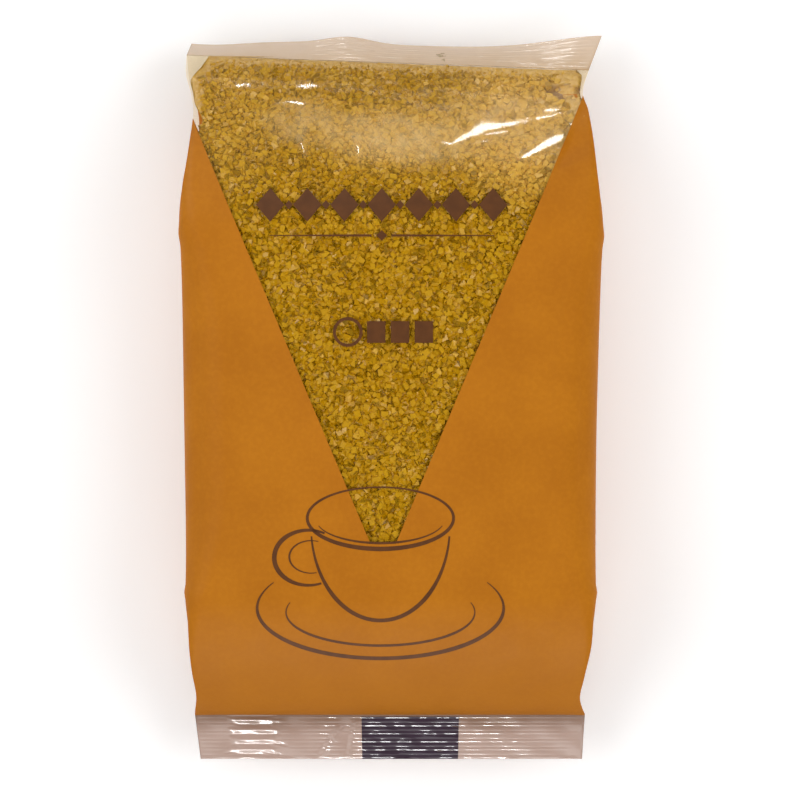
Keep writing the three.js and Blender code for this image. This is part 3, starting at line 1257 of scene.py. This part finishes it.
SUGAR_INSET, LEAST_INSET = 1.45, 0.3  # the core's distance under the film, and next to the seal
SUGAR_GAP_TOP = 0.35  # how far short of the seals the sugar stops
SUGAR_GAP_BOTTOM = 2.0
GRAIN_GAP = 3.0  # nearer than this to the top seal the crystals are small
GRAIN_STOP = 1.5  # and nearer than this there are none
SMALLEST_GRAIN = 0.4  # their size there, as a share of the others'
GRAIN_RELIEF = 0.3
# How far crystals keep from the left side and the right, and how much more at the top right
LEFT_MARGIN, RIGHT_MARGIN, TOP_RIGHT_MARGIN = 2.7, 3.8, 2
SUGAR_CORNER = ((60, 60), (74, 50.5), (76, 49.3), (78.4, 48.2), (81, 46.2), (85, 44))
SUGAR_DEEP = linear(178, 133, 0)
SUGAR_MIDDLE = linear(187, 143, 2)
SUGAR_PALE = linear(200, 159, 36)
SUGAR_PAINTED_LIGHT = linear(242, 201, 108)
# Patches of painted light on the sugar: place, reach and strength
PAINTED_LIGHT_PATCHES = (
    (-20, 67, 10, 7, 0.35), (1, 63, 17, 8, 0.7), (33, 66, 18, 18, 1.0), (-40, 66, 12, 17, 0.2),
)
HOLLOW = (42.3, 74.6, 4.6, 1.5)  # a gap in the sugar at the upper right, with painted shade in it: place and size


def sugar_points(steps):
    """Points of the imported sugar, drawn in where the film's corners stay empty."""
    more = SUGAR_INSET - LEAST_INSET
    inset = LEAST_INSET + more * smooth(TOP.y - steps[:, 1], 0, GRAIN_GAP)
    open_side = smooth(1 - np.abs(steps[:, 0]), 0, 0.09)
    above_print = smooth(steps[:, 1], PRINT_TOP_LEFT - 5, PRINT_TOP_LEFT)
    inset = inset - (inset - 0.2) * (1 - open_side) * above_print
    side_inset = LEAST_INSET + more * smooth(PRINT_TOP_LEFT + 1 - steps[:, 1], 0, 6)
    points = body_points(steps, inset=inset, side_inset=side_inset)
    x, y, z = points.T
    limit = follow(SUGAR_CORNER, y)
    x = np.where(x < 0, np.maximum(x, -limit), x)
    front = steps[:, 2] > 1 - 1e-6
    grain = ripples(x, y, 21, 60, 1.6, 3.0, GRAIN_RELIEF / 2)
    dent = hollow_mask(x, y) * 1.6
    z = z + np.where(front, grain * smooth(51 - np.abs(x), 1, 5) - dent, 0)
    return np.stack([x, y, z], axis=-1)


def hollow_mask(x, y, grow=0.0):
    px, py, width, height = HOLLOW
    width, height = width + grow, height + grow
    ragged = ripples(x, y, 3, 12, 2, 6, 0.25)
    return smooth(1.3 - np.hypot((x - px) / width, (y - py) / height) + ragged, 0, 0.5)


CUT_CORNERS, CUT_DEPTH = 0.36, 0.28  # share of a crystal's corners cut, and how far in


def ordered_faces(bm):
    """The corners of each face, in an order that is the same at every run."""
    bm.verts.index_update()
    faces = []
    for face in bm.faces:
        ring = [vert.index for vert in face.verts]
        first = ring.index(min(ring)) if len(ring) == 3 else 0
        faces.append(ring[first:] + ring[:first])
    return sorted(faces)


def crystal_shapes(count, random):
    """A few small meshes, each an uneven block with its corners cut."""
    shapes = []
    for k in range(count):
        bm = bmesh.new()
        bmesh.ops.create_cube(bm, size=1.0)
        corners = [v for v in bm.verts if random.uniform() < CUT_CORNERS]
        bmesh.ops.bevel(
            bm, geom=corners, offset=CUT_DEPTH, affect="VERTICES", segments=1, profile=0.5
        )
        scale = Vector(random.uniform(0.62, 1.0, 3))
        for vert in bm.verts:
            vert.co = vert.co * scale + Vector(random.uniform(-0.07, 0.07, 3))
        reach = max(vert.co.length for vert in bm.verts)
        for vert in bm.verts:
            vert.co /= 2 * reach
        hull = bmesh.ops.convex_hull(bm, input=bm.verts)
        inner = {g for g in hull["geom_interior"] if isinstance(g, bmesh.types.BMVert)}
        bmesh.ops.delete(bm, geom=list(inner), context="VERTS")
        bmesh.ops.recalc_face_normals(bm, faces=bm.faces)
        mesh = bpy.data.meshes.new(f"crystal_{k}")
        mesh.from_pydata([vert.co for vert in bm.verts], [], ordered_faces(bm))
        bm.free()
        shapes.append(bpy.data.objects.new(f"crystal_{k}", mesh))
    return shapes


class Growth(Nodes):
    """A Geometry Nodes tree being made, with named inputs of its own."""

    def __init__(self, name, inputs):
        super().__init__(bpy.data.node_groups.new(name, "GeometryNodeTree"))
        sockets = self.tree.interface
        sockets.new_socket("Geometry", in_out="INPUT", socket_type="NodeSocketGeometry")
        self.keys = {}
        for label, kind, value in inputs:
            made = sockets.new_socket(label, in_out="INPUT", socket_type=kind)
            if value is not None:
                made.default_value = value
            self.keys[label] = made.identifier
        sockets.new_socket("Geometry", in_out="OUTPUT", socket_type="NodeSocketGeometry")
        own = self.tree.nodes.new("NodeGroupInput").outputs
        self.given = {socket.name: Wire(self, socket) for socket in own if socket.name}

    def finish(self, geometry):
        """Makes a geometry the tree's result."""
        output = self.tree.nodes.new("NodeGroupOutput")
        self.tree.links.new(geometry.socket, output.inputs[0])
        return self


MOST_POINTS = 3e6  # crystals for each square metre, before the spacing thins them
FULL_TURN = 6.283
DEPTH_SPREAD = 0.15  # how far crystals sit above or below their usual depth


def crystal_tree():
    """Crystals strewn on a surface where it is marked, turned and sized at random."""
    growth = Growth(
        "strewn_crystals",
        (
            ("Spacing", "NodeSocketFloat", 1.4 * MM),
            ("Size", "NodeSocketFloat", 1.5 * MM),
            ("Unevenness", "NodeSocketFloat", 0.3),
            ("Lift", "NodeSocketFloat", 0.2 * MM),
            ("Seed", "NodeSocketInt", 1),
            ("Shapes", "NodeSocketCollection", None),
            ("Material", "NodeSocketMaterial", None),
        ),
    )
    given, node = growth.given, growth.node
    field = {"data_type": "FLOAT"}

    def marked(name):
        return node("GeometryNodeInputNamedAttribute", field, {"Name": name})

    def random(low, high, shift, kind="FLOAT"):
        inputs = {"Min": low, "Max": high, "Seed": given["Seed"] + shift}
        return node("FunctionNodeRandomValue", {"data_type": kind}, inputs, "Value")

    points = node(
        "GeometryNodeDistributePointsOnFaces",
        {"distribute_method": "POISSON"},
        {
            "Mesh": given["Geometry"],
            "Distance Min": given["Spacing"],
            "Density Max": MOST_POINTS,
            "Density Factor": marked("strewn"),
            "Seed": given["Seed"],
        },
    )
    uneven = given["Unevenness"]
    size = random(1 - uneven, 1 + uneven, 1) * given["Size"] * marked("room")
    turn = random((0, 0, 0), (FULL_TURN,) * 3, 2, "FLOAT_VECTOR")
    raised = random(-DEPTH_SPREAD * MM, DEPTH_SPREAD * MM, 3) + given["Lift"]
    offset = node(
        "ShaderNodeVectorMath", {"operation": "SCALE"},
        {0: points.beside("Normal"), "Scale": raised},
    )
    moved = node("GeometryNodeSetPosition", None, {"Geometry": points, "Offset": offset})
    shapes = node(
        "GeometryNodeCollectionInfo", None,
        {"Collection": given["Shapes"], "Separate Children": True, "Reset Children": True},
    )
    crystals = node(
        "GeometryNodeInstanceOnPoints", None,
        {
            "Points": moved,
            "Instance": shapes,
            "Pick Instance": True,
            "Rotation": turn,
            "Scale": size,
        },
    )
    tinted = node(
        "GeometryNodeStoreNamedAttribute", {**field, "domain": "INSTANCE"},
        {"Geometry": crystals, "Name": "tint", "Value": random(0.0, 1.0, 4)},
    )
    realized = node("GeometryNodeRealizeInstances", None, {"Geometry": tinted})
    material = {"Geometry": realized, "Material": given["Material"]}
    return growth.finish(node("GeometryNodeSetMaterial", None, material))


def grown_mesh(carrier, growth, values, name):
    """The result of a tree on a carrier object, as a plain mesh."""
    modifier = carrier.modifiers.new(name, "NODES")
    modifier.node_group = growth.tree
    for label, value in values.items():
        modifier[growth.keys[label]] = value
    evaluated = carrier.evaluated_get(bpy.context.evaluated_depsgraph_get())
    mesh = bpy.data.meshes.new_from_object(evaluated)
    mesh.name = name
    carrier.modifiers.remove(modifier)
    return mesh


class POUCH_OT_sugar(bpy.types.Operator):
    """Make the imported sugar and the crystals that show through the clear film"""

    bl_idname = "pouch.sugar"
    bl_label = "Sugar"

    def execute(self, context):
        settings = context.scene.pouch_sugar
        rows = np.append(
            np.arange(BOTTOM.y + SUGAR_GAP_BOTTOM, TOP.y - 1, 0.8), TOP.y - SUGAR_GAP_TOP
        )
        steps, faces = box_surface(
            np.linspace(-1, 1, 133), rows, np.linspace(-1, 1, 21), caps=True
        )
        points = sugar_points(steps)
        mesh = mesh_from("sugar_core", points, faces)
        x, y, _ = points.T
        front = steps[:, 2] > 1 - 1e-6
        corner = np.where(x < 0, follow(SUGAR_CORNER, y), np.inf)
        right = RIGHT_MARGIN + TOP_RIGHT_MARGIN * smooth(y, 75, 77)
        margin = np.where(x < 0, LEFT_MARGIN, right)
        near_side = np.abs(x) > np.minimum(side_reach(x, y), corner) - margin
        shown = front & (window_margin(x, y) > -2.0) & ~near_side
        # Where the painted shade of the hollow goes.
        hollow = np.where(front, hollow_mask(x, y), 0.0)
        covered = hollow_mask(x, y, grow=1.0) < 0.5
        run = TOP.y - steps[:, 1]
        shown = shown * covered * (run > GRAIN_STOP)
        room = SMALLEST_GRAIN + (1 - SMALLEST_GRAIN) * smooth(run, 0.8, GRAIN_GAP + 1)
        for name, values in (("strewn", shown), ("hollow", hollow), ("room", room)):
            layer = mesh.attributes.new(name, "FLOAT", "POINT")
            layer.data.foreach_set("value", values.astype(np.float32))
        # The last colour is the painted shade in the hollow.
        material = sugar_core_material(SUGAR_DEEP, SUGAR_PALE, linear(132, 84, 32))
        core = add_object("sugar_core", mesh, material)

        random = np.random.default_rng(settings.seed)
        shapes = bpy.data.collections.new("crystal_shapes")
        for shape in crystal_shapes(6, random):
            shapes.objects.link(shape)
        growth = crystal_tree()
        kinds = (
            ("sugar_crystals_deep", SUGAR_DEEP, SUGAR_MIDDLE, -0.4, 0),
            ("sugar_crystals_golden", SUGAR_MIDDLE, SUGAR_PALE, -0.25, 100),
        )
        for name, deep, pale, lift, shift in kinds:
            finish = crystal_material(name, deep, pale)
            values = {
                "Spacing": settings.spacing,
                "Size": settings.grain_size,
                "Unevenness": 0.22,
                "Lift": lift * MM,
                "Seed": settings.seed + shift,
                "Shapes": shapes,
                "Material": finish,
            }
            crystals = grown_mesh(core, growth, values, name)
            if not crystals.polygons:
                raise RuntimeError(f"{name} came out empty")
            add_piece(name, crystals, finish)
        for shape in list(shapes.objects):
            bpy.data.objects.remove(shape)
        bpy.data.collections.remove(shapes)
        settle(core)
        return {"FINISHED"}


FRAME_FOCAL = 3787.0  # focal length in pixels of an image 800 pixels wide
IMAGE_WIDTH = 800
SENSOR = 36.0

# Broad even lights: bearing from the right, angle down from straight up, width and strength
BROAD_LIGHTS = (
    ("right_light", 0, 42, 40, 1.05),
    ("left_light", 180, 42, 40, 1.05),
    ("foot_light", 270, 42, 40, 0.72),
    ("head_light", 90, 50, 50, 0.4),
)


def add_lamp(name, light, place, target=(0, 0, 0)):
    lamp = bpy.data.objects.new(name, light)
    lamp.location = place
    lamp.rotation_euler = (Vector(target) - Vector(place)).to_track_quat("-Z", "Y").to_euler()
    bpy.context.scene.collection.objects.link(lamp)
    return lamp


class POUCH_OT_stage(bpy.types.Operator):
    """Make the floor, the lights and the camera"""

    bl_idname = "pouch.stage"
    bl_label = "Stage"

    def execute(self, context):
        settings = context.scene.pouch_stage
        scene = context.scene
        paint = Paint("floor_paper")
        base = paint.blend(paint.noise(60, 3), (0.95, 0.95, 0.95, 1), (0.97, 0.97, 0.97, 1))
        shader = paint.shader("ShaderNodeBsdfPrincipled", base_color=base, roughness=0.9)
        shader.set("Specular IOR Level", 0.1)
        shader.set("Emission Color", (1, 1, 1, 1)).set("Emission Strength", 0.14)
        mesh = bpy.data.meshes.new("floor")
        reach = 15.0
        corners = [(-reach, -reach, 0), (reach, -reach, 0), (reach, reach, 0), (-reach, reach, 0)]
        mesh.from_pydata(corners, [], [(0, 1, 2, 3)])
        mesh.materials.append(paint.finish(shader))
        floor = bpy.data.objects.new("floor", mesh)
        scene.collection.objects.link(floor)

        world = bpy.data.worlds.new("even_light")
        world.use_nodes = True
        background = world.node_tree.nodes["Background"]
        background.inputs["Color"].default_value = (1, 1, 1, 1)
        background.inputs["Strength"].default_value = settings.fill_level
        scene.world = world

        for name, bearing, lean, width, strength in BROAD_LIGHTS:
            light = bpy.data.lights.new(name, "SUN")
            light.angle = np.radians(width)
            light.energy = strength * settings.light_level
            add_lamp(name, light, Vector(direction(bearing, lean)))
        shoulder = Vector((0, 0.06, 0.03))
        for name, (bearing, lean, width, height) in KEY_LIGHTS.items():
            key = bpy.data.lights.new(name, "AREA")
            key.shape = "RECTANGLE"
            key.size, key.size_y = width, height
            key.energy = settings.key_glare * np.pi * width * height
            lamp = add_lamp(name, key, shoulder + Vector(direction(bearing, lean)), shoulder)
            lamp.visible_diffuse = False

        camera = bpy.data.cameras.new("camera")
        camera.sensor_width = SENSOR
        camera.lens = FRAME_FOCAL / IMAGE_WIDTH * SENSOR
        camera.clip_start = 0.05
        camera.clip_end = 40
        view = bpy.data.objects.new("camera", camera)
        view.location = (CAMERA_PLACE[0] * MM, CAMERA_PLACE[1] * MM, settings.camera_height)
        scene.collection.objects.link(view)
        scene.camera = view
        scene.view_settings.view_transform = "Standard"
        scene.view_settings.look = "None"
        return {"FINISHED"}


OPERATORS = (
    POUCH_OT_film,
    POUCH_OT_seals,
    POUCH_OT_print,
    POUCH_OT_back_seam,
    POUCH_OT_sugar,
    POUCH_OT_stage,
)


class POUCH_PT_panel(bpy.types.Panel):
    """Lists the pouch's pieces and settings"""

    bl_idname = "POUCH_PT_panel"
    bl_label = "Pouch of brown sugar"
    bl_space_type = "VIEW_3D"
    bl_region_type = "UI"
    bl_category = "Pouch"

    def draw(self, context):
        layout = self.layout
        for name, group in GROUPS.items():
            settings = getattr(context.scene, name)
            for prop in group.__annotations__:
                layout.prop(settings, prop)
        for operator in OPERATORS:
            layout.operator(operator.bl_idname)


GROUPS = {
    "pouch_film": FilmSettings,
    "pouch_sugar": SugarSettings,
    "pouch_stage": StageSettings,
}


def register():
    for kind in (*GROUPS.values(), *OPERATORS, POUCH_PT_panel):
        bpy.utils.register_class(kind)
    for name, group in GROUPS.items():
        setattr(bpy.types.Scene, name, PointerProperty(type=group))


def unregister():
    for name in GROUPS:
        delattr(bpy.types.Scene, name)
    for kind in (POUCH_PT_panel, *reversed(OPERATORS), *reversed(GROUPS.values())):
        bpy.utils.unregister_class(kind)


def main():
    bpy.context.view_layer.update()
    register()
    for operator in OPERATORS:
        group, name = operator.bl_idname.split(".")
        getattr(getattr(bpy.ops, group), name)()


if __name__ == "__main__":
    main()
